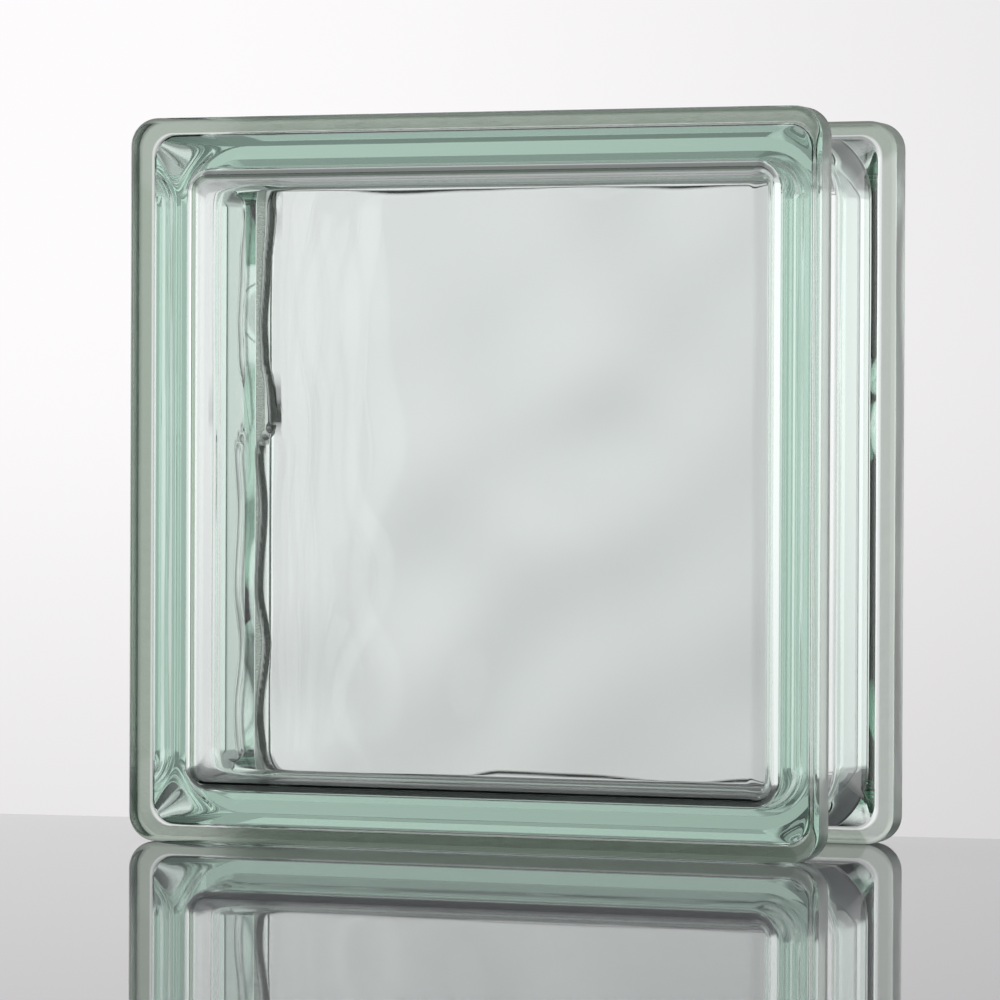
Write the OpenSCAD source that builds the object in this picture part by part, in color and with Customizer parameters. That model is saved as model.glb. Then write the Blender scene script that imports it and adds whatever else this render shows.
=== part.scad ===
// Hollow glass building block.
// Two pressed glass dishes are fused rim to rim, so the finished block is one sealed piece of glass.
// Outside: two smooth faces, each with a raised lip round its edge, and a recessed wall between the
// lips that keys into the mortar. Inside: a closed cavity whose two large walls carry a soft relief.
// The block stands on its lower edge. X is its width, Y its depth (the front face is at -Y), Z is up.

/* [Block] */
// Width of the face
block_w = 197; // [140:1:300]
// Height of the face
block_h = 197; // [140:1:300]
// Depth from face to face
block_d = 79; // [70:1:110]

/* [Lips] */
// Depth of each lip, measured back from its face
lip_t = 10; // [8:0.5:16]
// Corner radius of the lips, seen from the front
lip_corner_r = 8; // [5:0.5:12]
// Rounding of a lip's edge at the face
lip_face_r = 1.8; // [1:0.1:3]
// Rounding of a lip's edge at the shoulder
lip_back_r = 1; // [0.6:0.1:2]

/* [Recessed wall] */
// How far the wall lies inside the lips
recess = 4; // [3:0.1:5]
// How much further in the wall lies at the seam
wall_draft = 1.6; // [0.4:0.1:2.5]
// Corner radius of the wall at a lip's shoulder, seen from the front
wall_corner_r = 6; // [4:0.5:10]
// Corner radius of the wall at the seam
seam_corner_r = 18; // [12:0.5:20]
// Fillet between the wall and a lip's shoulder
shoulder_r = 1.5; // [1:0.1:2.5]

/* [Fused seam] */
// Radius of the bead of glass along the seam
bead_r = 2.5; // [1.5:0.1:4]
// How far the bead stands out of the wall
bead_h = 0.6; // [0.3:0.1:1.2]
// How far the bead stands into the cavity
inner_bead_h = 0.6; // [0.3:0.1:1.5]
// Half the breadth of the bead inside the cavity
inner_bead_w = 2.5; // [1.5:0.1:4]

/* [Cavity] */
// Thickness of the glass at the front face, which is flat on both sides
front_t = 8; // [6.5:0.1:12]
// Thickness of the glass at the back face, without the relief inside it
back_t = 7; // [6:0.1:11]
// Thickness of the wall where it meets a face
wall_t = 7; // [6:0.1:10]
// How much wider the cavity is at the seam than at the faces, on each side
cavity_draft = 1; // [0.5:0.1:2]
// Corner radius of the cavity, seen from the front
cavity_corner_r = 13; // [12:0.5:16]
// Fillet between the cavity's walls and its front face
front_fillet_r = 4.5; // [3:0.1:8]
// Fillet between the cavity's walls and its back face
back_fillet_r = 7; // [4:0.1:9]

/* [Relief] */
// Mean height of the relief above the glass of the back face
relief_mid = 1; // [1:0.1:2]
// Height of the main waves above and below the middle of the relief
wave_h = 0.8; // [0.2:0.1:1]
// Length of the main waves
wave_len = 56; // [40:1:90]
// Direction in which the main waves run, from the X axis
wave_turn = 38; // [0:1:90]
// Height of the cross waves, as a share of the main waves
cross_share = 0.6; // [0:0.05:1]
// Length of the cross waves
cross_len = 43; // [30:1:80]

/* [Facets] */
// Facets of the cavity along each straight side
side_steps = 15; // [8:1:20]
// Facets of the cavity round each corner
corner_steps = 5; // [3:1:6]
// Facets of the recessed wall round each corner
wall_corner_steps = 12; // [6:1:16]
// Rings of facets from the middle of the back face to its fillet
face_rings = 12; // [6:1:14]
// Rings of facets in the fillet round the back face
back_rounds = 7; // [4:1:9]
// Rings of facets in the fillet round the front face
front_rounds = 4; // [3:1:6]
// Rings of facets in the fillet at a lip's shoulder
shoulder_rounds = 3; // [2:1:5]

/* [Hidden] */
$fn = 64;

half_d = block_d / 2;
// The shoulder is the side of a lip that looks at the seam
shoulder_y = half_d - lip_t;
// Depth to which the wall's form runs on inside a lip, so that the two are one
root = lip_t / 2;
glass_colour = [0.72, 0.85, 0.80, 0.45];

// How far the shoulder's fillet runs on into the lip, so that it crosses the shoulder's plane
bite = 0.05;
// Number of points in one ring of the recessed wall
wall_points = 4 * (wall_corner_steps + 1);

// Half sizes of the cavity where its walls meet the fillets
cavity_x = block_w / 2 - recess - wall_t;
cavity_z = block_h / 2 - recess - wall_t;
// Number of points in one ring of the cavity
ring_points = 4 * (corner_steps + side_steps);

// Rings.
// A ring is a rectangle of half sizes hx and hz with corners of radius r, walked anticlockwise. Each
// corner has corner_n facets and each straight side has side_n. A stack of rings makes a closed form.

function corner_centre(q, hx, hz, r) =
    [((q + 1) % 4 < 2 ? 1 : -1) * (hx - r), (q % 4 < 2 ? 1 : -1) * (hz - r)];

function ring_point(i, hx, hz, r, corner_n, side_n) =
    let (quarter = corner_n + side_n,
         q = floor(i / quarter),
         k = i % quarter,
         share = max(0, k - corner_n) / side_n,
         turn = 90 * (q + min(k, corner_n) / corner_n),
         centre = (1 - share) * corner_centre(q, hx, hz, r) + share * corner_centre(q + 1, hx, hz, r))
    centre + r * [cos(turn), sin(turn)];

// Faces between the rings of a stack that have n points each
function band_faces(ring_count, n) =
    [for (k = [0:ring_count - 2], i = [0:n - 1])
        let (a = k * n + i,
             b = k * n + (i + 1) % n,
             c = b + n,
             d = a + n)
        each [[a, b, c], [a, c, d]]];

// Outside of the block: lips and bead.
// A form is a profile carried round a rectangle with round corners. The profile is drawn with x
// outwards from the corner's axis and y along the block's depth, from y_low to y_high at x = 0.

module twin_profile(core, y_low, y_high) {
    translate([core / 2, 0]) children();
    mirror([1, 0]) translate([core / 2, 0]) children();
    translate([-core / 2, y_low]) square([core, y_high - y_low]);
}

module carried_round(w, h, corner_r, y_low, y_high) {
    core_w = w - 2 * corner_r;
    core_h = h - 2 * corner_r;
    for (side_x = [-1, 1], side_z = [-1, 1])
        translate([side_x * core_w / 2, 0, side_z * core_h / 2])
            rotate([-90, 0, 0]) rotate_extrude() children();
    linear_extrude(height = core_h, center = true)
        twin_profile(core_w, y_low, y_high) children();
    rotate([0, 90, 0]) linear_extrude(height = core_w, center = true)
        twin_profile(core_h, y_low, y_high) children();
}

// The lip at the back: a band with a round edge at the face and another at the shoulder
module lip_profile() {
    translate([0, shoulder_y + lip_back_r])
        square([lip_corner_r, lip_t - lip_back_r - lip_face_r]);
    translate([0, shoulder_y]) square([lip_corner_r - lip_back_r, lip_t / 2]);
    translate([0, half_d - lip_t / 2]) square([lip_corner_r - lip_face_r, lip_t / 2]);
    translate([lip_corner_r - lip_back_r, shoulder_y + lip_back_r]) circle(lip_back_r);
    translate([lip_corner_r - lip_face_r, half_d - lip_face_r]) circle(lip_face_r);
}

module lips() {
    for (face = [0, 1])
        mirror([0, face, 0])
            carried_round(block_w, block_h, lip_corner_r, shoulder_y, half_d) lip_profile();
}

// The bead of glass that was squeezed out where the two dishes were fused
module bead() {
    inset = recess + wall_draft;
    centre_r = seam_corner_r + bead_h - bead_r;
    carried_round(block_w - 2 * inset, block_h - 2 * inset, seam_corner_r, -bead_r / 2, bead_r / 2) {
        translate([0, -bead_r / 2]) square([centre_r, bead_r]);
        translate([centre_r, 0]) circle(bead_r);
    }
}

// Outside of the block: the recessed wall.
// Its corners are sharper at the shoulders than at the seam. Rings of half of it, from the foot of
// the shoulder's fillet to inside the back lip. Each is [depth, inset from the lips, corner radius].
fillet_levels = [for (k = [0:shoulder_rounds])
    let (turn = 90 * k / shoulder_rounds,
         out = shoulder_r * (1 - cos(turn)),
         depth = shoulder_y - shoulder_r * (1 - sin(turn)) + bite * k / shoulder_rounds)
    [depth, recess - out, wall_corner_r + out]];
half_wall = concat(fillet_levels,
                   [[shoulder_y + root, recess - shoulder_r, wall_corner_r + shoulder_r]]);

function wall_ring(level, side) =
    [for (i = [0:wall_points - 1])
        let (p = ring_point(i, block_w / 2 - level[1], block_h / 2 - level[1], level[2],
                            wall_corner_steps, 1))
        [p[0], side * level[0], p[1]]];

module recessed_wall() {
    last = len(half_wall) - 1;
    rings = concat(
        [for (k = [last:-1:0]) wall_ring(half_wall[k], -1)],
        [wall_ring([0, recess + wall_draft, seam_corner_r], 1)],
        [for (k = [0:last]) wall_ring(half_wall[k], 1)]);
    ring_count = len(rings);
    back_ring = (ring_count - 1) * wall_points;
    front_cap = [for (i = [wall_points - 1:-1:0]) i];
    back_cap = [for (i = [0:wall_points - 1]) back_ring + i];
    polyhedron(points = [for (ring = rings) each ring],
               faces = concat([front_cap], band_faces(ring_count, wall_points), [back_cap]));
}

module outside() {
    lips();
    recessed_wall();
    bead();
}

// Relief of the back face: the height of the glass surface above its lowest possible level.
// Two long waves cross each other, and a third, slower one makes their crests rise and fall.
function relief(x, z) =
    let (along = x * cos(wave_turn) + z * sin(wave_turn),
         across = z * cos(wave_turn) - x * sin(wave_turn),
         swell = 0.75 + 0.25 * cos(360 * (x - 0.6 * z) / (3 * wave_len)),
         main = sin(360 * (along + 6 * sin(360 * across / (2 * cross_len))) / wave_len),
         cross = sin(360 * (across + 5 * sin(360 * along / (2 * wave_len))) / cross_len + 70))
    relief_mid + wave_h * swell * (main + cross_share * cross) / (1 + cross_share);

// Inside of the block.
// The cavity is a stack of closed rings from the middle of one face to the middle of the other.
// Rings of one dish, from the one next to the middle of its face to the one before the seam. Each is
// [inset from the cavity's wall, share of the flat face, depth below the face glass].
function dish_levels(fillet, rim, flats, rounds) =
    let (bead_start = rim - inner_bead_w)
    concat(
        [for (k = [1:flats]) [fillet, k / flats, 0]],
        [for (k = [1:rounds])
            let (turn = 90 * k / rounds)
            [fillet * (1 - sin(turn)), 1, fillet * (1 - cos(turn))]],
        [for (share = [0.5, 1]) [-cavity_draft * share, 1, fillet + (bead_start - fillet) * share]],
        [[inner_bead_h * 0.6 - cavity_draft, 1, rim - inner_bead_w * 0.5]]);

front_levels = dish_levels(front_fillet_r, half_d - front_t, 1, front_rounds);
back_levels = dish_levels(back_fillet_r, half_d - back_t, face_rings, back_rounds);
seam_level = [inner_bead_h - cavity_draft, 1, half_d - front_t];

// Depth of the glass at a point: the front dish is plain, and in the back one the relief runs into
// the fillet and leaves a crease where the two meet
function glass_depth(level, side, p) =
    side < 0 ? front_t + level[2] : back_t + max(level[2], relief(p[0], p[1]));

function cavity_ring(level, side) =
    let (hx = level[1] * (cavity_x - level[0]),
         hz = level[1] * (cavity_z - level[0]),
         r = level[1] * (cavity_corner_r - level[0]))
    [for (i = [0:ring_points - 1])
        let (p = ring_point(i, hx, hz, r, corner_steps, side_steps))
        [p[0], side * (half_d - glass_depth(level, side, p)), p[1]]];

function pole(side) =
    [0, side * (half_d - glass_depth([0, 0, 0], side, [0, 0])), 0];

module cavity() {
    rings = concat(
        [for (level = front_levels) cavity_ring(level, -1)],
        [cavity_ring(seam_level, -1)],
        [for (k = [len(back_levels) - 1:-1:0]) cavity_ring(back_levels[k], 1)]);
    ring_count = len(rings);
    points = concat([for (ring = rings) each ring], [pole(-1), pole(1)]);
    front_pole = ring_count * ring_points;
    back_ring = (ring_count - 1) * ring_points;
    front_faces = [for (i = [0:ring_points - 1]) [front_pole, (i + 1) % ring_points, i]];
    back_faces = [for (i = [0:ring_points - 1])
        [front_pole + 1, back_ring + i, back_ring + (i + 1) % ring_points]];
    polyhedron(points = points,
               faces = concat(front_faces, band_faces(ring_count, ring_points), back_faces));
}

module glass_block() {
    color(glass_colour)
        translate([0, 0, block_h / 2])
            difference() {
                outside();
                cavity();
            }
}

glass_block();
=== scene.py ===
"""Looks of a hollow glass building block: one fused piece of glass on a pale floor in soft studio light.

The glass is one closed mesh of two skins. The outer skin has the faces, the lips, the recessed walls and the
fused bead, and the inner skin bounds the sealed cavity, whose back wall carries the cloudy relief. Both are
stacks of rings: a profile of lines and arcs is carried round a rectangle with round corners. All lengths are
in metres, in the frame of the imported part: X is the width, Y the depth with the front face at -Y, Z is up.
"""

import logging
import math
from dataclasses import dataclass, field
from enum import Enum

import bpy
import numpy as np
from mathutils import Matrix, Vector

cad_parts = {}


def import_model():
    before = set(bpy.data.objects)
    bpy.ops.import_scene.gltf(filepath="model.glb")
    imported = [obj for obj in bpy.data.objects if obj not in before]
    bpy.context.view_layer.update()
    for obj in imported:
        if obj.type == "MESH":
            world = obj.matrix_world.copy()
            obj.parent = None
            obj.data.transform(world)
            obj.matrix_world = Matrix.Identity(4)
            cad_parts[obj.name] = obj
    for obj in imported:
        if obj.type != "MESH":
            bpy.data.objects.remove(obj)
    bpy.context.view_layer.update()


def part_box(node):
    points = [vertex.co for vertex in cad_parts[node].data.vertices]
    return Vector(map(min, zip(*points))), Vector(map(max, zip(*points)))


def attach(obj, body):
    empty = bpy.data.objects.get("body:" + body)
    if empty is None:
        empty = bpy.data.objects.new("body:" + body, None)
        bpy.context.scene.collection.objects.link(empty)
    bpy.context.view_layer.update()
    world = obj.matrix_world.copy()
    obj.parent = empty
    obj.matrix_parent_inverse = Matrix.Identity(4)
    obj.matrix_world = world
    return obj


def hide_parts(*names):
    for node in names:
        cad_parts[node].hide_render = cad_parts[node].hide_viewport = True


LOG = logging.getLogger("glass_block")
MM = 0.001
NODE = "glass_block"
BODY = "root"
MARKS_AND_SHADE = "mould_marks_and_shade"
CREASE_SHADE = "painted_crease_shade"


# Shapes of glass, as functions of two parameters

@dataclass(frozen=True)
class Reach:
    """One station of a profile.

    Fields:
        inset: how far the ring lies inside the block's widest outline.
        depth: how far it lies behind the face of its dish.
        corner: the radius of its corners, seen from the front.
        scale: its size as a share of that ring, below 1 only on a flat face.
    """

    inset: float
    depth: float
    corner: float
    scale: float = 1.0

    def array(self) -> np.ndarray:
        """The four values as one array."""
        return np.array([self.inset, self.depth, self.corner, self.scale])


@dataclass(frozen=True)
class Stroke:
    """One stroke of a profile, straight from start to end, or an arc where bend is given.

    Fields:
        start: the station that it starts from.
        end: the station that it ends at.
        steps: how many rings it is cut into.
        bend: the arc's centre, as inset and depth. The arc joins start to end, at an even turn.
    """

    start: Reach
    end: Reach
    steps: int
    bend: tuple[float, float] | None = None

    def at(self, share: np.ndarray) -> np.ndarray:
        """Stations along the stroke.

        Args:
            share: positions along it, from 0 at its start to 1 at its end.

        Returns:
            An array of four rows: inset, depth, corner and scale.
        """
        first, last = self.start.array(), self.end.array()
        rows = first[:, None] + (last - first)[:, None] * share
        if self.bend is not None:
            centre = np.array(self.bend)
            arm, goal = first[:2] - centre, last[:2] - centre
            radius = np.hypot(*arm)
            turn_from = math.atan2(arm[1], arm[0])
            sweep = math.atan2(arm[0] * goal[1] - arm[1] * goal[0], float(arm @ goal))
            angle = turn_from + sweep * share
            rows[0] = centre[0] + radius * np.cos(angle)
            rows[1] = centre[1] + radius * np.sin(angle)
        return rows


def smooth_max(a: np.ndarray, b: np.ndarray, blend: float) -> np.ndarray:
    """The greater of two heights, with the crease between them rounded over about the length of blend.

    Args:
        a: the first height.
        b: the second height.
        blend: how broad the rounding is.

    Returns:
        Half of the sum of both and the root of their squared difference plus blend squared.
    """
    return 0.5 * (a + b + np.sqrt((a - b) ** 2 + blend**2))


def bump(offset: np.ndarray, reach: float) -> np.ndarray:
    """A round ridge: the squared cosine of offset, 1 in the middle and 0 from reach outwards.

    Args:
        offset: distance from the ridge's middle line.
        reach: half of its breadth.

    Returns:
        Its height at each offset.
    """
    return np.cos(np.clip(offset / reach, -1, 1) * math.pi / 2) ** 2


def waves(turn: np.ndarray, parts: tuple[tuple[float, int, float], ...]) -> np.ndarray:
    """The sum of sine waves round a ring.

    Args:
        turn: angles round the ring, in radians.
        parts: the height, the count round the ring and the start angle of each wave.

    Returns:
        The sum at each angle.
    """
    return sum(height * np.sin(count * turn + start) for height, count, start in parts)


def swing(at: np.ndarray, stops: tuple[tuple[float, float], ...]) -> np.ndarray:
    """A smooth line through stops: between two of them it follows half a wave of a cosine.

    Args:
        at: positions in metres.
        stops: pairs of position and value, both in millimetres, in rising order.

    Returns:
        The values at those positions, in metres.
    """
    places, values = (np.array(column) * MM for column in zip(*stops))
    number = np.clip(np.searchsorted(places, at) - 1, 0, len(places) - 2)
    share = np.clip((at - places[number]) / (places[number + 1] - places[number]), 0, 1)
    return values[number] + (values[number + 1] - values[number]) * (1 - np.cos(share * math.pi)) / 2


@dataclass(frozen=True)
class Sizes:
    """The block's own sizes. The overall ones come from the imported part."""

    width: float
    depth: float
    height: float
    lip_depth: float = 10.5 * MM
    lip_corner: float = 8 * MM
    face_edge: float = 1.6 * MM
    back_edge: float = 1.3 * MM
    recess: float = 4.8 * MM
    draft: float = 1.9 * MM
    wall_corner: float = 6 * MM
    seam_corner: float = 18 * MM
    shoulder: float = 1.2 * MM
    bead: float = 0.6 * MM
    bead_reach: float = 2.0 * MM
    inner_bead: float = 0.6 * MM
    inner_bead_reach: float = 3 * MM
    front_glass: float = 8.4 * MM
    back_glass: float = 6.8 * MM
    wall_glass: float = 8.4 * MM
    cavity_draft: float = 3.3 * MM
    cavity_corner: float = 8.8 * MM
    cavity_seam_corner: float = 13 * MM
    front_fillet: float = 7.2 * MM
    back_fillet: float = 3.4 * MM
    relief_blend: float = 0.1 * MM
    rim: float = 5 * MM
    rim_corner_growth: float = 2.5 * MM

    @property
    def half_depth(self) -> float:
        """Distance from the seam to a face."""
        return self.depth / 2

    @property
    def cavity_half_width(self) -> float:
        """Distance from the block's middle to a side wall of the cavity, at the faces."""
        return self.width / 2 - self.recess - self.wall_glass


@dataclass(frozen=True)
class Relief:
    """The cloudy relief of the back wall: two crossing waves, whose crests bend and swell slowly."""

    mean: float = 1.6 * MM
    height: float = 0.85 * MM
    lean: float = math.radians(38)
    length: float = 58 * MM
    bend: float = 6 * MM
    bend_length: float = 86 * MM
    cross_share: float = 0.6
    cross_length: float = 43 * MM
    cross_bend: float = 5 * MM
    cross_bend_length: float = 116 * MM
    cross_start: float = 1.2
    swell_share: float = 0.25
    swell_slope: float = 0.6
    swell_length: float = 174 * MM

    def at(self, x: np.ndarray, z: np.ndarray) -> np.ndarray:
        """Heights of the relief.

        Each wave is the sine of the way along it, which itself is bent by a longer sine across it.

        Args:
            x: places to the right of the block's middle.
            z: places above it.

        Returns:
            The height above the plain glass at each place.
        """
        tau = 2 * math.pi
        along = x * math.cos(self.lean) + z * math.sin(self.lean)
        across = z * math.cos(self.lean) - x * math.sin(self.lean)
        swell_turn = tau * (x - self.swell_slope * z) / self.swell_length
        swell = 1 - self.swell_share + self.swell_share * np.cos(swell_turn)
        main_bend = self.bend * np.sin(tau * across / self.bend_length)
        main = np.sin(tau * (along + main_bend) / self.length)
        cross_bend = self.cross_bend * np.sin(tau * along / self.cross_bend_length)
        cross = np.sin(tau * (across + cross_bend) / self.cross_length + self.cross_start)
        return self.mean + self.height * swell * (main + self.cross_share * cross) / (1 + self.cross_share)


@dataclass(frozen=True)
class CreaseShadeAndRidge:
    """Lines of painted shade along the wavy creases round the relief, and the ridge that the left ones run
    on.

    The places are stops of smooth lines, in millimetres from the block's middle. They were measured along the
    lines in the photograph and rounded. At the top and the bottom they pair x with the inset from the
    edge of the face, and at the left they pair the height with a swing in depth.
    """

    top: tuple[tuple[float, float], ...] = (
        (-80, 15.5), (-72, 15.7), (-46, 17.6), (-25, 17), (-7, 16.6),
        (5, 15.9), (26, 16.9), (36, 17.3), (54, 16.7), (80, 16.5),
    )
    bottom: tuple[tuple[float, float], ...] = (
        (-80, 12.5), (-61, 13), (-30, 14.5), (-15, 16.8), (10, 16.5), (39, 14.9), (58, 16.5), (80, 16),
    )
    left: tuple[tuple[float, float], ...] = (
        (-84, 0.5), (-67, -2.5), (-47, 1.5), (-31, -2.8), (-8, -0.5), (7, -2.8), (17, 4.5),
        (24, 3.5), (35, 0), (44, -0.8), (60, 1), (74, 3), (84, 3),
    )
    softness: float = 1.6
    top_half: float = 0.6 * MM
    bottom_half: float = 0.5 * MM
    face_reach: float = 3.2 * MM
    face_margin: float = 0.5 * MM
    wall_reach: float = 3 * MM
    wall_margin: float = 1 * MM
    depth: float = 26.2 * MM
    broad_half: float = 1.9 * MM
    thin_half: float = 0.7 * MM
    thin_ahead: float = 9.5 * MM
    thin_swing: float = 0.7
    thin_strength: float = 0.8
    ridge: float = 1.1 * MM
    ridge_reach: float = 2.6 * MM
    ridge_behind: float = 0.6 * MM
    ridge_end: float = 17 * MM
    ridge_fade: float = 5 * MM

    def line(self, offset: np.ndarray, half: float) -> np.ndarray:
        """A soft-edged line: 1 near its middle, and 0 from softness times half outwards."""
        return np.clip(self.softness - np.abs(offset) / half, 0, 1)

    def on_face(self, x: np.ndarray, z: np.ndarray, half_height: float) -> np.ndarray:
        """Painted shade along the creases of the back face, at the top and the bottom.

        Args:
            x: places to the right of the block's middle.
            z: places above it.
            half_height: half of the block's height.

        Returns:
            How much painted shade each place gets, from 0 to 1.
        """
        top = half_height - swing(x, self.top) - z
        bottom = half_height - swing(x, self.bottom) + z
        return np.maximum(self.line(top, self.top_half), self.line(bottom, self.bottom_half))

    def on_wall(self, y: np.ndarray, z: np.ndarray) -> np.ndarray:
        """Painted shade along the broad and the thin crease of the left wall.

        Args:
            y: places behind the seam.
            z: places above the block's middle.

        Returns:
            How much painted shade each place gets, from 0 to 1.
        """
        wave = swing(z, self.left)
        broad = self.line(y - self.depth - wave, self.broad_half)
        thin = self.line(y - self.depth + self.thin_ahead - self.thin_swing * wave, self.thin_half)
        return np.maximum(broad, self.thin_strength * thin)

    def ridge_height(self, x: np.ndarray, y: np.ndarray, z: np.ndarray, half_height: float) -> np.ndarray:
        """Height of the ridge on the left wall. It fades out before the corners.

        Args:
            x: places to the right of the block's middle.
            y: places behind the seam.
            z: places above the block's middle.
            half_height: half of the block's height.

        Returns:
            The height at each place.
        """
        fade = np.clip((half_height - self.ridge_end - np.abs(z)) / self.ridge_fade, 0, 1) * (x < 0)
        offset = y - self.depth - swing(z, self.left) - self.ridge_behind
        return self.ridge * fade * bump(offset, self.ridge_reach)


@dataclass
class Skin:
    """A closed skin of rings, from the middle of the front face to the middle of the back one.

    The ring parameter runs along the profile: one unit for each stroke to the seam, and back again behind it.
    The round parameter runs from 0 to 4 round a ring: one unit for each corner and the side after it.
    """

    sizes: Sizes
    corner_steps: int = 12
    side_steps: int = 66
    bead_steps: int = 9
    outwards: bool = True
    front: list[Stroke] = field(default_factory=list)
    back: list[Stroke] = field(default_factory=list)

    def ring_xz(self, row: np.ndarray, round_at: np.ndarray) -> tuple[np.ndarray, np.ndarray]:
        """Points of rings, seen from the front.

        A quarter of a ring is an arc about its corner's centre, then the side to the next corner. The side's
        points lie at even shares between the two corners' centres, moved out by the corner radius.

        Args:
            row: inset, depth, corner and scale for each point.
            round_at: the round parameter of each point.

        Returns:
            The x and the z of each point.
        """
        inset, _, corner, scale = row
        half_x = self.sizes.width / 2 - inset - corner
        half_z = self.sizes.height / 2 - inset - corner
        corner_share = self.corner_steps / (self.corner_steps + self.side_steps)
        quarter = np.floor(round_at)
        local = round_at - quarter
        turn = (quarter + np.minimum(local / corner_share, 1)) * math.pi / 2
        side = np.clip((local - corner_share) / (1 - corner_share), 0, 1)

        def centre(number: np.ndarray) -> tuple[np.ndarray, np.ndarray]:
            """The centre of a corner, counted anticlockwise from the one at +X and +Z."""
            number = number % 4
            corner_x = np.where((number == 0) | (number == 3), half_x, -half_x)
            return corner_x, np.where(number < 2, half_z, -half_z)

        here, there = centre(quarter), centre(quarter + 1)
        x = (here[0] * (1 - side) + there[0] * side + corner * np.cos(turn)) * scale
        z = (here[1] * (1 - side) + there[1] * side + corner * np.sin(turn)) * scale
        return x, z

    def row(self, ring_at: np.ndarray, side: np.ndarray) -> np.ndarray:
        """The stations for ring parameters counted from a face to the seam, in the dish of each side."""
        rows = np.empty((4, ring_at.size))
        number = np.clip(np.floor(ring_at).astype(int), 0, len(self.front) - 1)
        for strokes, sign in ((self.front, -1.0), (self.back, 1.0)):
            for index, stroke in enumerate(strokes):
                here = (number == index) & (side == sign)
                rows[:, here] = stroke.at(ring_at[here] - index)
        return rows

    def shaped(self, row: np.ndarray, round_at: np.ndarray, side: np.ndarray) -> np.ndarray:
        """Changes the stations by what isn't in the profile, such as a bead. A plain skin changes nothing."""
        return row

    def height(self, x: np.ndarray, z: np.ndarray, depth: np.ndarray, side: np.ndarray) -> np.ndarray:
        """The depth of each point behind its face, with any relief. A plain skin has none."""
        return depth

    def surface(self, ring_at: np.ndarray, round_at: np.ndarray) -> np.ndarray:
        """Points of the skin.

        Args:
            ring_at: the ring parameter of each point.
            round_at: the round parameter of each point.

        Returns:
            An array of points, one to a row.
        """
        count = len(self.front)
        side = np.where(ring_at <= count, -1.0, 1.0)
        row = self.row(count - np.abs(ring_at - count), side)
        row = self.shaped(row, round_at, side)
        x, z = self.ring_xz(row, round_at)
        depth = self.height(x, z, row[1], side)
        return np.stack([x, side * (self.sizes.half_depth - depth), z + self.sizes.height / 2], axis=1)

    def ring_parameters(self) -> np.ndarray:
        """The ring parameter of every ring between the two poles."""
        count = len(self.front)
        front, back = (
            np.concatenate([i + np.arange(s.steps) / s.steps for i, s in enumerate(strokes)])[1:]
            for strokes in (self.front, self.back)
        )
        return np.concatenate([front, [float(count)], 2 * count - back[::-1]])

    def marked_and_shaded(self, ring_at: np.ndarray, round_at: np.ndarray) -> np.ndarray:
        """How much of the mould's marks each point carries, from 0 to 1. A plain skin has none."""
        return np.zeros(ring_at.size)

    def crease_shading(self, points: np.ndarray) -> np.ndarray:
        """How much painted shade a crease puts on each point, from 0 to 1. A plain skin has none."""
        return np.zeros(len(points))

    def round_parameters(self) -> np.ndarray:
        """The round parameter of every point of a ring: even steps round each corner and along each side."""
        corner_share = self.corner_steps / (self.corner_steps + self.side_steps)
        local = np.concatenate([
            np.arange(self.corner_steps) / self.corner_steps * corner_share,
            corner_share + np.arange(self.side_steps) / self.side_steps * (1 - corner_share),
        ])
        return (np.arange(4)[:, None] + local[None, :]).ravel()

    def normals_at(self, ring_at: np.ndarray, round_at: np.ndarray) -> np.ndarray:
        """Normals of the skin.

        A normal is the cross product of the surface's differences along its two parameters.

        Args:
            ring_at: the ring parameter of each point.
            round_at: the round parameter of each point.

        Returns:
            Unit vectors away from the middle of the block, one to a row.
        """
        tiny, least = 1e-4, 1e-30
        along = self.surface(ring_at + tiny, round_at) - self.surface(ring_at - tiny, round_at)
        across = self.surface(ring_at, (round_at + tiny) % 4) - self.surface(ring_at, (round_at - tiny) % 4)
        normals = np.cross(along, across)
        return normals / np.maximum(np.linalg.norm(normals, axis=1), least)[:, None]

    def faces(self, ring_count: int, around: int) -> list[list[int]]:
        """Quads between the rings and a fan of triangles at each pole.

        Args:
            ring_count: how many rings there are.
            around: how many points a ring has.

        Returns:
            Lists of vertex numbers. The front pole comes right after the rings' points, then the back one.
        """
        first, last = np.arange(around), (ring_count - 1) * around + np.arange(around)
        rows = np.arange(ring_count - 1)[:, None] * around
        here = (rows + np.arange(around)[None, :]).ravel()
        beside = (rows + np.roll(np.arange(around), -1)[None, :]).ravel()
        quads = np.stack([here + around, beside + around, beside, here], axis=1)
        poles = ring_count * around
        front_fan = np.stack([np.full(around, poles), first, np.roll(first, -1)], axis=1)
        back_fan = np.stack([np.full(around, poles + 1), np.roll(last, -1), last], axis=1)
        if not self.outwards:
            quads, front_fan, back_fan = quads[:, ::-1], front_fan[:, ::-1], back_fan[:, ::-1]
        return quads.tolist() + front_fan.tolist() + back_fan.tolist()

    def mesh_data(self) -> tuple[np.ndarray, list, np.ndarray, np.ndarray, np.ndarray]:
        """The skin as vertices, faces, normals, mould marks and the painted shade of its creases.

        Returns:
            Vertices, normals, marks and creases as arrays, and faces as lists of vertex numbers.
        """
        rings, rounds = self.ring_parameters(), self.round_parameters()
        ring_at, round_at = np.repeat(rings, rounds.size), np.tile(rounds, rings.size)
        poles = self.surface(np.array([0.0, 2.0 * len(self.front)]), np.zeros(2))
        points = np.concatenate([self.surface(ring_at, round_at), poles])
        pole_normals = np.array([[0.0, -1.0, 0.0], [0.0, 1.0, 0.0]])
        normals = np.concatenate([self.normals_at(ring_at, round_at), pole_normals])
        marks = np.concatenate([self.marked_and_shaded(ring_at, round_at), [0.0, 0.0]])
        return points, self.faces(rings.size, rounds.size), normals, marks, self.crease_shading(points)


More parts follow.
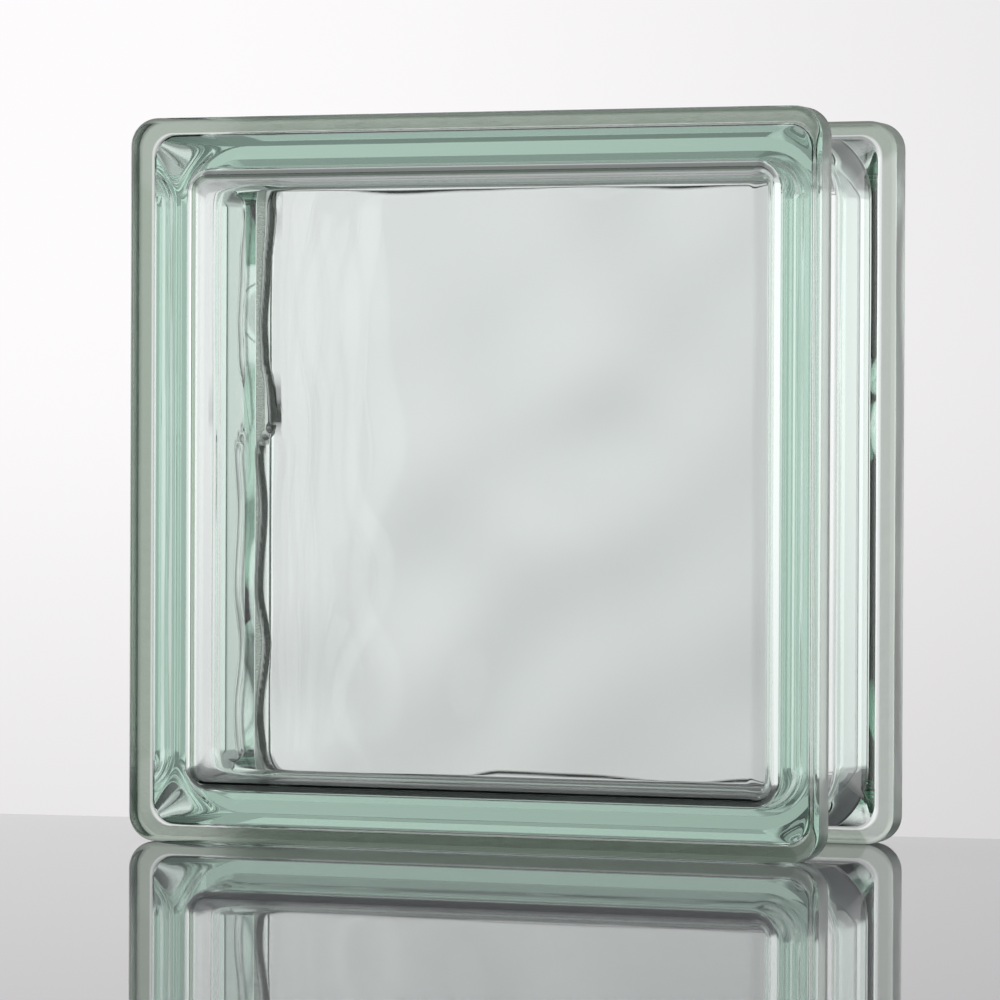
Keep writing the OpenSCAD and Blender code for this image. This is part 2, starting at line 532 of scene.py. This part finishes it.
@dataclass
class OuterSkin(Skin):
    """The outside of the glass: faces, lips, shoulders, recessed walls and the fused bead.

    The marks are strongest on the left side, whose middle has left_middle as its round parameter, and weakest
    on the right one, from right_start on. They run from mark_start to mark_end of the ring parameter.
    """

    left_middle: float = 1.57
    left_reach: float = 0.37
    right_start: float = 3.0
    left_marks: float = 1.0
    right_marks: float = 0.70
    other_marks: float = 0.95
    mark_start: float = 1.7
    mark_end: float = 5.3
    mark_fade: float = 0.3
    face_steps: int = 10
    face_edge_steps: int = 9
    lip_steps: int = 4
    back_edge_steps: int = 7
    ledge_steps: int = 2
    shoulder_steps: int = 7
    wall_steps: int = 8
    bead_swell: tuple[tuple[float, int, float], ...] = ((0.18, 5, 0.7), (0.12, 11, 2.1))
    bead_wander: tuple[tuple[float, int, float], ...] = ((0.25 * MM, 3, 0.0), (0.15 * MM, 8, 1.0))

    def __post_init__(self) -> None:
        """Works out the profile of one dish, from the middle of its face to the seam."""
        s = self.sizes
        slope = math.atan2(s.draft, s.half_depth - s.lip_depth)
        foot_depth = s.lip_depth + s.shoulder
        foot_inset = s.recess + (foot_depth - s.lip_depth) * math.tan(slope)
        centre = (foot_inset - s.shoulder / math.cos(slope), foot_depth)
        touch = (centre[0] + s.shoulder * math.cos(slope), centre[1] - s.shoulder * math.sin(slope))

        def on_lip(inset: float, depth: float, scale: float = 1.0) -> Reach:
            """A station whose corners are concentric with the lip's."""
            return Reach(inset, depth, s.lip_corner - inset, scale)

        edge = on_lip(s.face_edge, 0)
        band_start, band_end = on_lip(0, s.face_edge), on_lip(0, s.lip_depth - s.back_edge)
        shoulder_start = on_lip(s.back_edge, s.lip_depth)
        shoulder_end = Reach(centre[0], s.lip_depth, s.wall_corner)
        wall_start = Reach(*touch, s.wall_corner)
        seam = Reach(s.recess + s.draft, s.half_depth, s.seam_corner)
        share = 2 * s.bead_reach / (seam.depth - touch[1])
        bead_start = Reach(*(wall_start.array() * share + seam.array() * (1 - share)))
        self.front = self.back = [
            Stroke(on_lip(s.face_edge, 0, 0.0), edge, self.face_steps),
            Stroke(edge, band_start, self.face_edge_steps, (s.face_edge, s.face_edge)),
            Stroke(band_start, band_end, self.lip_steps),
            Stroke(band_end, shoulder_start, self.back_edge_steps, (s.back_edge, s.lip_depth - s.back_edge)),
            Stroke(shoulder_start, shoulder_end, self.ledge_steps),
            Stroke(shoulder_end, wall_start, self.shoulder_steps, centre),
            Stroke(wall_start, bead_start, self.wall_steps),
            Stroke(bead_start, seam, self.bead_steps),
        ]

    def marked_and_shaded(self, ring_at: np.ndarray, round_at: np.ndarray) -> np.ndarray:
        """The lips' sides and shoulders were pressed against the mould: strokes 2 to 4 carry its marks. The
        same share also sets the painted shade of their dark tint.

        Args:
            ring_at: the ring parameter of each point.
            round_at: the round parameter of each point.

        Returns:
            How much of the marks, and of their painted shade, each point carries, from 0 to 1.
        """
        at = len(self.front) - np.abs(ring_at - len(self.front))
        on_left = np.abs(round_at - self.left_middle) < self.left_reach
        strength = np.select(
            [on_left, round_at > self.right_start], [self.left_marks, self.right_marks], self.other_marks,
        )
        start_fade = np.clip((at - self.mark_start) / self.mark_fade, 0, 1)
        end_fade = np.clip((self.mark_end - at) / self.mark_fade, 0, 1)
        return strength * start_fade * end_fade

    def shaped(self, row: np.ndarray, round_at: np.ndarray, side: np.ndarray) -> np.ndarray:
        """Raises the bead along the seam. Its height rises and falls a little on its way round."""
        s = self.sizes
        turn = round_at * math.pi / 2
        swell = 1 + waves(turn, self.bead_swell)
        offset = side * (s.half_depth - row[1]) - waves(turn, self.bead_wander)
        out = row.copy()
        out[0] = row[0] - s.bead * swell * bump(offset, s.bead_reach)
        return out


@dataclass
class CavitySkin(Skin):
    """The inside of the glass: the sealed cavity, plain behind the front face and cloudy behind the back one.

    The steps say how many rings the face of a dish, its rim, its fillet and its wall are cut into.
    """

    outwards: bool = False
    front_steps: tuple[int, int, int, int] = (4, 4, 20, 6)
    back_steps: tuple[int, int, int, int] = (44, 24, 16, 44)
    relief: Relief = Relief()
    creases: CreaseShadeAndRidge = CreaseShadeAndRidge()

    def __post_init__(self) -> None:
        """Works out the profiles of both dishes, from the middle of the inner face to the seam."""
        self.front = self.dish(self.sizes.front_glass, self.sizes.front_fillet, self.front_steps)
        self.back = self.dish(self.sizes.back_glass, self.sizes.back_fillet, self.back_steps)

    def dish(self, face_glass: float, fillet: float, steps: tuple[int, int, int, int]) -> list[Stroke]:
        """The profile of one dish.

        Args:
            face_glass: thickness of the glass of its face, without any relief.
            fillet: radius between its face and its walls.
            steps: how many rings its four strokes before the bead are cut into.

        Returns:
            Its strokes, from the middle of its face to the seam.
        """
        s = self.sizes
        wall = s.recess + s.wall_glass
        slope = math.atan2(s.cavity_draft, s.half_depth - face_glass - fillet)
        centre = (wall + fillet, face_glass + fillet)
        touch = (centre[0] - fillet * math.cos(slope), centre[1] + fillet * math.sin(slope))
        flat_corner = s.cavity_corner - fillet
        flat = Reach(centre[0], face_glass, flat_corner)
        rim = Reach(centre[0] + s.rim, face_glass, flat_corner + s.rim_corner_growth)
        wall_start = Reach(touch[0], touch[1], s.cavity_corner)
        seam = Reach(wall - s.cavity_draft, s.half_depth, s.cavity_seam_corner)
        share = 2 * s.inner_bead_reach / (seam.depth - touch[1])
        bead_start = Reach(*(wall_start.array() * share + seam.array() * (1 - share)))
        return [
            Stroke(Reach(rim.inset, face_glass, rim.corner, 0.0), rim, steps[0]),
            Stroke(rim, flat, steps[1]),
            Stroke(flat, wall_start, steps[2], centre),
            Stroke(wall_start, bead_start, steps[3]),
            Stroke(bead_start, seam, self.bead_steps),
        ]

    def height(self, x: np.ndarray, z: np.ndarray, depth: np.ndarray, side: np.ndarray) -> np.ndarray:
        """Where the relief stands higher than the fillet, it shows, with a soft crease between them."""
        s = self.sizes
        cloudy = s.back_glass + smooth_max(depth - s.back_glass, self.relief.at(x, z), s.relief_blend)
        return np.where(side > 0, cloudy, depth)

    def crease_shading(self, points: np.ndarray) -> np.ndarray:
        """How much painted shade the creases put on each point.

        Args:
            points: the skin's points, one to a row.

        Returns:
            A value for each point, from 0 to 1.
        """
        s, c = self.sizes, self.creases
        x, y, z = points[:, 0], points[:, 1], points[:, 2] - s.height / 2
        back = s.half_depth - s.back_glass
        face = (y > back - c.face_reach) & (np.abs(x) < s.cavity_half_width - c.face_margin)
        wall = (x < c.wall_reach - s.cavity_half_width) & (y > 0) & (y < back - c.wall_margin)
        return np.maximum(c.on_face(x, z, s.height / 2) * face, c.on_wall(y, z) * wall)

    def shaped(self, row: np.ndarray, round_at: np.ndarray, side: np.ndarray) -> np.ndarray:
        """Raises the softer bead of the seam inside the cavity, and the ridge of the left creases."""
        s = self.sizes
        x, z = self.ring_xz(row, round_at)
        from_seam = s.half_depth - row[1]
        out = row.copy()
        out[0] = row[0] + s.inner_bead * bump(from_seam, s.inner_bead_reach)
        out[0] += self.creases.ridge_height(x, side * from_seam, z, s.height / 2)
        return out


# The glass and its finish

@dataclass(frozen=True)
class ClearGlass:
    """Pale green soda-lime glass. The green comes from the length of glass that the light crosses.

    The finish also has the mould's marks, which are rough and banded, with a grey-green tint of painted
    shade, and nearly black lines of painted shade along the creases.
    """

    index: float = 1.52
    roughness: float = 0.0
    keep: tuple[float, float, float] = (0.42, 0.66, 0.55)
    density: float = 17.0
    marked_roughness: float = 0.42
    # Dark grey-green: painted shade on the mould's marks, over their real roughness and bands.
    marks_shade_tint: tuple[float, float, float] = (0.27, 0.34, 0.26)
    band_height: float = 0.25 * MM
    band_scale: tuple[float, float, float] = (230, 25, 230)
    band_detail: float = 4.0
    band_roughness: float = 0.65
    # Nearly black: painted shade along the creases, in place of the dark lines that refraction gives.
    crease_shade_colour: tuple[float, float, float] = (0.004, 0.005, 0.004)

    def material(self) -> bpy.types.Material:
        """Builds the material: a clear Principled surface round an absorbing volume."""
        made = bpy.data.materials.new("pale_green_glass")
        made.use_nodes = True
        tree = made.node_tree
        shader = tree.nodes["Principled BSDF"]
        shader.inputs["Base Color"].default_value = (1, 1, 1, 1)
        shader.inputs["Metallic"].default_value = 0.0
        shader.inputs["Roughness"].default_value = self.roughness
        shader.inputs["IOR"].default_value = self.index
        shader.inputs["Transmission Weight"].default_value = 1.0
        marks = self.attribute(tree, MARKS_AND_SHADE)
        self.band(tree, shader, marks)
        # Painted shade: the base colour turns dark grey-green at the mould's marks and nearly black along the
        # creases.
        self.tint(tree, shader, marks, self.attribute(tree, CREASE_SHADE))
        volume = tree.nodes.new("ShaderNodeVolumeAbsorption")
        volume.inputs["Color"].default_value = (*self.keep, 1)
        volume.inputs["Density"].default_value = self.density
        tree.links.new(volume.outputs["Volume"], tree.nodes["Material Output"].inputs["Volume"])
        return made

    def attribute(self, tree: bpy.types.NodeTree, name: str) -> bpy.types.NodeSocket:
        """A value that the mesh carries at each point."""
        node = tree.nodes.new("ShaderNodeAttribute")
        node.attribute_name = name
        return node.outputs["Fac"]

    def band(self, tree: bpy.types.NodeTree, shader: bpy.types.Node, marks: bpy.types.NodeSocket) -> None:
        """Dulls and bands the surface where the mesh carries the mould's marks.

        The bands are noise on Object coordinates, drawn out along the block's depth.

        Args:
            tree: the material's node tree.
            shader: its Principled shader.
            marks: how much of the marks each point carries.
        """
        place = tree.nodes.new("ShaderNodeTexCoord")
        stretch = tree.nodes.new("ShaderNodeMapping")
        stretch.inputs["Scale"].default_value = self.band_scale
        tree.links.new(place.outputs["Object"], stretch.inputs["Vector"])
        bands = tree.nodes.new("ShaderNodeTexNoise")
        bands.inputs["Scale"].default_value = 1.0
        bands.inputs["Detail"].default_value = self.band_detail
        bands.inputs["Roughness"].default_value = self.band_roughness
        tree.links.new(stretch.outputs["Vector"], bands.inputs["Vector"])
        height = tree.nodes.new("ShaderNodeMath")
        height.operation = "MULTIPLY"
        tree.links.new(bands.outputs["Fac"], height.inputs[0])
        tree.links.new(marks, height.inputs[1])
        bump_node = tree.nodes.new("ShaderNodeBump")
        bump_node.inputs["Distance"].default_value = self.band_height
        tree.links.new(height.outputs[0], bump_node.inputs["Height"])
        tree.links.new(bump_node.outputs["Normal"], shader.inputs["Normal"])
        dull = tree.nodes.new("ShaderNodeMapRange")
        dull.inputs["To Min"].default_value = self.roughness
        dull.inputs["To Max"].default_value = self.marked_roughness
        tree.links.new(marks, dull.inputs["Value"])
        tree.links.new(dull.outputs["Result"], shader.inputs["Roughness"])

    def tint(
        self,
        tree: bpy.types.NodeTree,
        shader: bpy.types.Node,
        marks: bpy.types.NodeSocket,
        creases: bpy.types.NodeSocket,
    ) -> None:
        """Paints shade into the base colour: dark grey-green at the mould's marks, and nearly black along the
        creases.

        Args:
            tree: the material's node tree.
            shader: its Principled shader.
            marks: how much of the marks, and of their painted shade, each point carries.
            creases: how much painted shade a crease puts on each point.
        """
        colour = (1, 1, 1, 1)
        for target, share in ((self.marks_shade_tint, marks), (self.crease_shade_colour, creases)):
            mix = tree.nodes.new("ShaderNodeMix")
            mix.data_type = "RGBA"
            mix.inputs["B"].default_value = (*target, 1)
            tree.links.new(share, mix.inputs["Factor"])
            if isinstance(colour, tuple):
                mix.inputs["A"].default_value = colour
            else:
                tree.links.new(colour, mix.inputs["A"])
            colour = mix.outputs["Result"]
        tree.links.new(colour, shader.inputs["Base Color"])


@dataclass
class GlassBlock:
    """The block itself: one mesh of both skins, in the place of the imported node."""

    sizes: Sizes
    glass: ClearGlass = ClearGlass()

    def mesh(self) -> bpy.types.Mesh:
        """Joins both skins into one mesh with smooth normals.

        Returns:
            The mesh, with no material yet.
        """
        points, faces, normals, marks, creases = [], [], [], [], []
        count = 0
        for skin in (OuterSkin(self.sizes), CavitySkin(self.sizes)):
            skin_points, skin_faces, skin_normals, skin_marks, skin_crease_shading = skin.mesh_data()
            marks.append(skin_marks)
            creases.append(skin_crease_shading)
            sign = 1.0 if skin.outwards else -1.0
            points.append(skin_points)
            normals.append(skin_normals * sign)
            faces.extend([[n + count for n in face] for face in skin_faces])
            count += len(skin_points)
        mesh = bpy.data.meshes.new("pressed_glass")
        mesh.from_pydata(np.concatenate(points).tolist(), [], faces)
        mesh.update()
        mesh.polygons.foreach_set("use_smooth", np.ones(len(mesh.polygons), dtype=bool))
        for name, values in ((MARKS_AND_SHADE, marks), (CREASE_SHADE, creases)):
            mesh.attributes.new(name, "FLOAT", "POINT").data.foreach_set("value", np.concatenate(values))
        mesh.normals_split_custom_set_from_vertices(np.concatenate(normals).tolist())
        return mesh

    def build(self) -> bpy.types.Object:
        """Makes the block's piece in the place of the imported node.

        Returns:
            The finished object.
        """
        mesh = self.mesh()
        mesh.materials.append(self.glass.material())
        piece = bpy.data.objects.new("pressed_glass_block", mesh)
        bpy.context.scene.collection.objects.link(piece)
        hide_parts(NODE)
        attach(piece, BODY)
        triangles = sum(len(polygon.vertices) - 2 for polygon in mesh.polygons)
        LOG.info("%s: %d vertices, %d triangles", piece.name, len(mesh.vertices), triangles)
        return piece


# The studio

@dataclass(frozen=True)
class Photographer:
    """The camera, from a fit to the outline of the block in the photograph."""

    place: tuple[float, float, float] = (0.48424, -1.28031, 0.11086)
    yaw: float = 20.9136
    pitch: float = -0.7314
    roll: float = 0.242
    focal_px: float = 5011.67
    frame_px: float = 1000.0

    def set_up(self) -> bpy.types.Object:
        """Builds the camera. It looks along forward, turned by yaw from +Y, and then rolled."""
        yaw, pitch, roll = (math.radians(a) for a in (self.yaw, self.pitch, self.roll))
        forward = Vector((-math.sin(yaw) * math.cos(pitch), math.cos(yaw) * math.cos(pitch), math.sin(pitch)))
        right = Vector((math.cos(yaw), math.sin(yaw), 0))
        up = right.cross(forward)
        right_rolled = right * math.cos(roll) + up * math.sin(roll)
        up_rolled = up * math.cos(roll) - right * math.sin(roll)
        data = bpy.data.cameras.new("camera")
        data.sensor_width = 36.0
        data.lens = self.focal_px * data.sensor_width / self.frame_px
        camera = bpy.data.objects.new("camera", data)
        bpy.context.scene.collection.objects.link(camera)
        turn = Matrix((right_rolled, up_rolled, -forward)).transposed()
        camera.matrix_world = Matrix.Translation(self.place) @ turn.to_4x4()
        data.dof.use_dof = False
        bpy.context.scene.camera = camera
        return camera


@dataclass(frozen=True)
class PaleLacquer:
    """The finish of the table: pale, and nearly as smooth as a mirror."""

    colour: tuple[float, float, float] = (0.36, 0.36, 0.378)
    roughness: float = 0.02

    def material(self) -> bpy.types.Material:
        """Builds the material."""
        made = bpy.data.materials.new("pale_lacquer")
        made.use_nodes = True
        shader = made.node_tree.nodes["Principled BSDF"]
        shader.inputs["Base Color"].default_value = (*self.colour, 1)
        shader.inputs["Roughness"].default_value = self.roughness
        return made


@dataclass(frozen=True)
class BlackCard:
    """The finish of a card: an even dark grey, whatever light falls on it."""

    grey: float = 0.02

    def material(self, name: str) -> bpy.types.Material:
        """Builds the material for the card of that name."""
        made = bpy.data.materials.new("card_" + name)
        made.use_nodes = True
        tree = made.node_tree
        tree.nodes.remove(tree.nodes["Principled BSDF"])
        glow = tree.nodes.new("ShaderNodeEmission")
        glow.inputs["Color"].default_value = (self.grey, self.grey, self.grey, 1)
        tree.links.new(glow.outputs["Emission"], tree.nodes["Material Output"].inputs["Surface"])
        return made


@dataclass(frozen=True)
class Flag:
    """A black card, as photographers stand round glass, so that what it mirrors shows as dark lines.

    It is a patch of a cylinder about the block's middle. Azimuth is 0 along +Y and 90 along +X, in degrees.
    """

    name: str
    azimuth: tuple[float, float]
    elevation: tuple[float, float]
    distance: float = 2.6
    columns: int = 24
    finish: BlackCard = BlackCard()

    def build(self) -> bpy.types.Object:
        """Builds the card: x = d sin(a), y = d cos(a), z = d tan(e) over its azimuths a and elevations e.

        Returns:
            The card. The camera and matt surfaces don't see it, and it casts no shadow.
        """
        edges = self.columns + 1
        turn = np.radians(np.linspace(*self.azimuth, edges))
        low, high = (self.distance * math.tan(math.radians(e)) for e in self.elevation)
        ring = np.stack([self.distance * np.sin(turn), self.distance * np.cos(turn)], axis=1)
        points = np.concatenate([np.column_stack([ring, np.full(edges, z)]) for z in (low, high)])
        first = np.arange(self.columns)
        faces = np.stack([first, first + 1, first + edges + 1, first + edges], axis=1)
        mesh = bpy.data.meshes.new(self.name)
        mesh.from_pydata(points.tolist(), [], faces.tolist())
        mesh.materials.append(self.finish.material(self.name))
        piece = bpy.data.objects.new(self.name, mesh)
        bpy.context.scene.collection.objects.link(piece)
        piece.visible_camera = False
        piece.visible_diffuse = False
        piece.visible_shadow = False
        LOG.info("%s: a card behind the camera", piece.name)
        return piece


class Direction(Enum):
    """A direction of the studio's light, named as the camera looks."""

    UP = "up"
    RIGHT = "right"
    AWAY = "away"


@dataclass(frozen=True)
class Falloff:
    """Light that goes smoothly from 1 to level, as a ray's part along a direction goes from start to end."""

    direction: Direction
    start: float
    end: float
    level: float

    def socket(
        self,
        tree: bpy.types.NodeTree,
        ray: bpy.types.NodeSocket,
        axes: dict[Direction, tuple[float, float, float]],
    ) -> bpy.types.NodeSocket:
        """Builds the falloff.

        Args:
            tree: the world's node tree.
            ray: the direction that each ray comes from.
            axes: the unit vector of each direction.

        Returns:
            The share of light that is left.
        """
        part = tree.nodes.new("ShaderNodeVectorMath")
        part.operation = "DOT_PRODUCT"
        part.inputs[1].default_value = axes[self.direction]
        tree.links.new(ray, part.inputs[0])
        scale = tree.nodes.new("ShaderNodeMapRange")
        scale.interpolation_type = "SMOOTHSTEP"
        limits = {"From Min": self.start, "From Max": self.end, "To Min": 1.0, "To Max": self.level}
        for name, value in limits.items():
            scale.inputs[name].default_value = value
        tree.links.new(part.outputs["Value"], scale.inputs["Value"])
        return scale.outputs["Result"]


@dataclass(frozen=True)
class Studio:
    """A pale lacquered table, a lit backdrop all round, and a dark card behind the camera."""

    table_edge: float = 0.0507
    table_turn: float = 5.6
    view_turn: float = 20.9
    table_reach: float = 3.0
    table_finish: PaleLacquer = PaleLacquer()
    backdrop: tuple[float, float, float] = (0.985, 0.97, 0.98)
    bounces: int = 24
    mirror_bounces: int = 16
    flags: tuple[Flag, ...] = (Flag("dark_room", (150, 210), (-8, 60)),)
    falloffs: tuple[Falloff, ...] = (
        Falloff(Direction.UP, 0.03, -0.11, 0.80),
        Falloff(Direction.UP, -0.10, -0.24, 0.55),
        Falloff(Direction.UP, 0.12, 0.26, 0.68),
        Falloff(Direction.RIGHT, -0.08, 0.2, 0.80),
        Falloff(Direction.AWAY, -0.45, -0.85, 0.10),
        Falloff(Direction.UP, 0.45, 0.75, 0.42),
        Falloff(Direction.RIGHT, -0.45, -0.80, 1.45),
        Falloff(Direction.RIGHT, 0.35, 0.60, 1.60),
    )

    def table(self) -> bpy.types.Object:
        """The table under the block. Its far edge runs close behind the block, a little askew to it."""
        turn = math.radians(self.table_turn)
        right = np.array([math.cos(turn), math.sin(turn), 0])
        away = np.array([-math.sin(turn), math.cos(turn), 0])
        across = right * self.table_reach
        near, far = -away * self.table_reach, away * self.table_edge
        corners = (near - across, near + across, far + across, far - across)
        mesh = bpy.data.meshes.new("table")
        mesh.from_pydata([tuple(c) for c in corners], [], [(0, 1, 2, 3)])
        mesh.materials.append(self.table_finish.material())
        piece = bpy.data.objects.new("table", mesh)
        bpy.context.scene.collection.objects.link(piece)
        LOG.info("%s: the floor under the block", piece.name)
        return piece

    def world(self) -> None:
        """Lights the backdrop, dimmer above, below and behind the camera, and brighter at both sides."""
        world = bpy.data.worlds.new("studio")
        bpy.context.scene.world = world
        world.use_nodes = True
        tree = world.node_tree
        place = tree.nodes.new("ShaderNodeTexCoord")
        turn = math.radians(self.view_turn)
        axes = {
            Direction.UP: (0, 0, 1),
            Direction.RIGHT: (math.cos(turn), math.sin(turn), 0),
            Direction.AWAY: (-math.sin(turn), math.cos(turn), 0),
        }
        light, *others = (falloff.socket(tree, place.outputs["Generated"], axes) for falloff in self.falloffs)
        for part in others:
            both = tree.nodes.new("ShaderNodeMath")
            both.operation = "MULTIPLY"
            tree.links.new(light, both.inputs[0])
            tree.links.new(part, both.inputs[1])
            light = both.outputs[0]
        background = tree.nodes["Background"]
        background.inputs["Color"].default_value = (*self.backdrop, 1)
        tree.links.new(light, background.inputs["Strength"])

    def set_up(self) -> None:
        """Builds the stage and sets how the picture shows colours."""
        self.table()
        self.world()
        for flag in self.flags:
            flag.build()
        scene = bpy.context.scene
        scene.view_settings.view_transform = "Standard"
        scene.cycles.use_denoising = True
        scene.cycles.max_bounces = self.bounces
        scene.cycles.transmission_bounces = self.bounces
        scene.cycles.glossy_bounces = self.mirror_bounces
        scene.cycles.transparent_max_bounces = self.mirror_bounces


def save_sizes() -> None:
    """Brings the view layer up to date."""
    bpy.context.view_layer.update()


def main() -> None:
    """Loads the frame, builds the block and its studio, and reports each piece."""
    logging.basicConfig(level=logging.INFO, format="%(name)s: %(message)s")
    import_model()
    Photographer().set_up()
    low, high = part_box(NODE)
    extent = high - low
    block = GlassBlock(Sizes(width=extent.x, depth=extent.y, height=extent.z))
    block.build()
    Studio().set_up()
    save_sizes()


if __name__ == "__main__":
    main()
